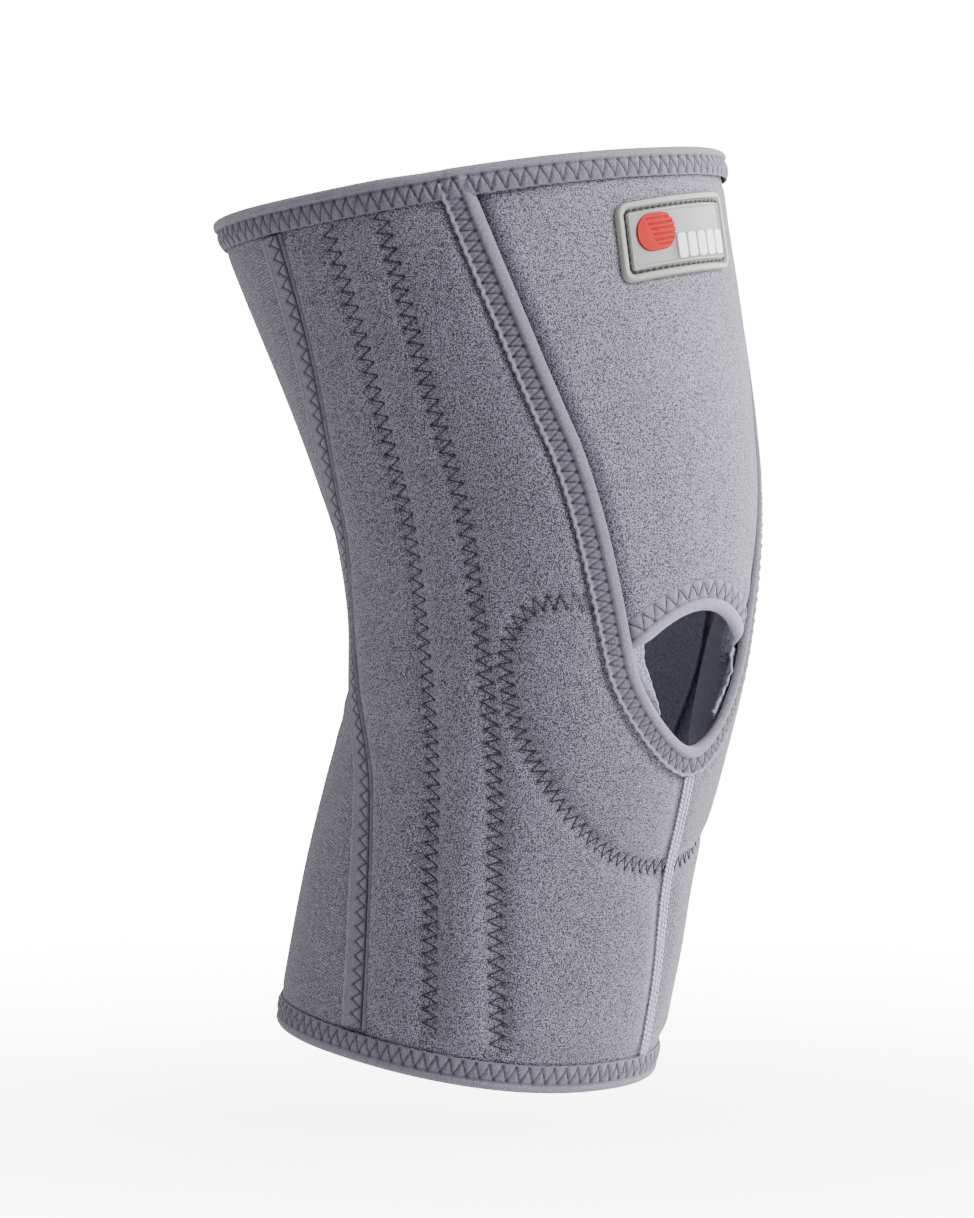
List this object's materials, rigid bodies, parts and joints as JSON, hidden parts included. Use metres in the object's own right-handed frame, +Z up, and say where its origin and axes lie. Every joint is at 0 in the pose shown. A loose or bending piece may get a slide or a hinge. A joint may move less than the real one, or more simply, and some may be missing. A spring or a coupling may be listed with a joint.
{
  "type": "knee brace",
  "caption": "Pull-on neoprene knee brace for a right leg: open kneecap hole with bound edges, horseshoe support pad, side stays in sewn channels, taped seams and a rubber badge.",
  "frame": {"origin": "on the knee's bending axis, at the middle of the sleeve", "axes": "+Z up the leg, -Y the front of the knee, -X the outer (lateral) side of the right leg; the brace is at rest slightly bent, as worn"},
  "size_m": [0.1596, 0.178, 0.2986],
  "materials": {
    "neoprene_side": "grey plush loop knit over neoprene, salt-and-pepper grain",
    "neoprene_front": "lighter grey plush loop knit over neoprene",
    "neoprene_back": "smooth fine knit over neoprene, slightly blue",
    "binding": "folded knit tape with zigzag stitching",
    "seam_tape": "flat knit tape with zigzag stitching",
    "flatlock": "light flatlock stitching",
    "lining": "light loop lining",
    "inner_knit": "dark inner knit",
    "pad_foam": "dense closed-cell foam",
    "stay_steel": "flattened spiral steel wire",
    "cap_steel": "crimped steel end cap",
    "badge_rubber": "grey-green moulded soft rubber",
    "badge_inset": "raised frame of the moulded badge",
    "badge_red": "raised red moulded rubber",
    "badge_white": "raised white moulded rubber"
  },
  "bodies": {
    "thigh": {"top_binding": "binding", "front_panel": "neoprene_front", "front_panel_hem": "binding", "lateral_panel_upper": "neoprene_side", "medial_panel_upper": "neoprene_side", "back_panel_upper": "neoprene_back", "lateral_seam_tape_upper": "seam_tape", "medial_seam_tape_upper": "seam_tape", "opening_binding_lateral": "binding", "opening_binding_medial": "binding", "lateral_stay_pocket_upper": "inner_knit", "medial_stay_pocket_upper": "inner_knit", "lateral_front_stay": "stay_steel", "lateral_rear_stay": "stay_steel", "medial_front_stay": "stay_steel", "medial_rear_stay": "stay_steel", "stay_caps_upper": "cap_steel", "opening_lining_lateral": "lining", "opening_lining_medial": "lining", "badge_base": "badge_rubber", "badge_field": "badge_inset", "badge_emblem": "badge_red", "badge_bars": "badge_white"},
    "calf": {"bottom_binding": "binding", "lateral_panel_lower": "neoprene_side", "medial_panel_lower": "neoprene_side", "back_panel_lower": "neoprene_back", "lateral_seam_tape_lower": "seam_tape", "medial_seam_tape_lower": "seam_tape", "opening_binding_lower": "binding", "front_seam": "flatlock", "patella_buttress": "pad_foam", "buttress_cover": "inner_knit", "lateral_stay_pocket_lower": "inner_knit", "medial_stay_pocket_lower": "inner_knit", "stay_caps_lower": "cap_steel"}
  },
  "joints": [
    {"name": "knee_flexion", "type": "hinge", "parent": "thigh", "child": "calf", "pos_m": [0, 0, 0], "axis": [1, 0, 0], "range_deg": [-33, 80], "stiffness_Nm_per_rad": 0.6, "deforming": ["front_panel", "front_panel_hem", "lateral_panel_upper", "medial_panel_upper", "back_panel_upper", "lateral_seam_tape_upper", "medial_seam_tape_upper", "opening_binding_lateral", "opening_binding_medial", "lateral_stay_pocket_upper", "medial_stay_pocket_upper", "lateral_front_stay", "lateral_rear_stay", "medial_front_stay", "medial_rear_stay", "opening_lining_lateral", "opening_lining_medial", "lateral_panel_lower", "medial_panel_lower", "back_panel_lower", "lateral_seam_tape_lower", "medial_seam_tape_lower", "opening_binding_lower", "front_seam", "patella_buttress", "buttress_cover", "lateral_stay_pocket_lower", "medial_stay_pocket_lower"]}
  ]
}
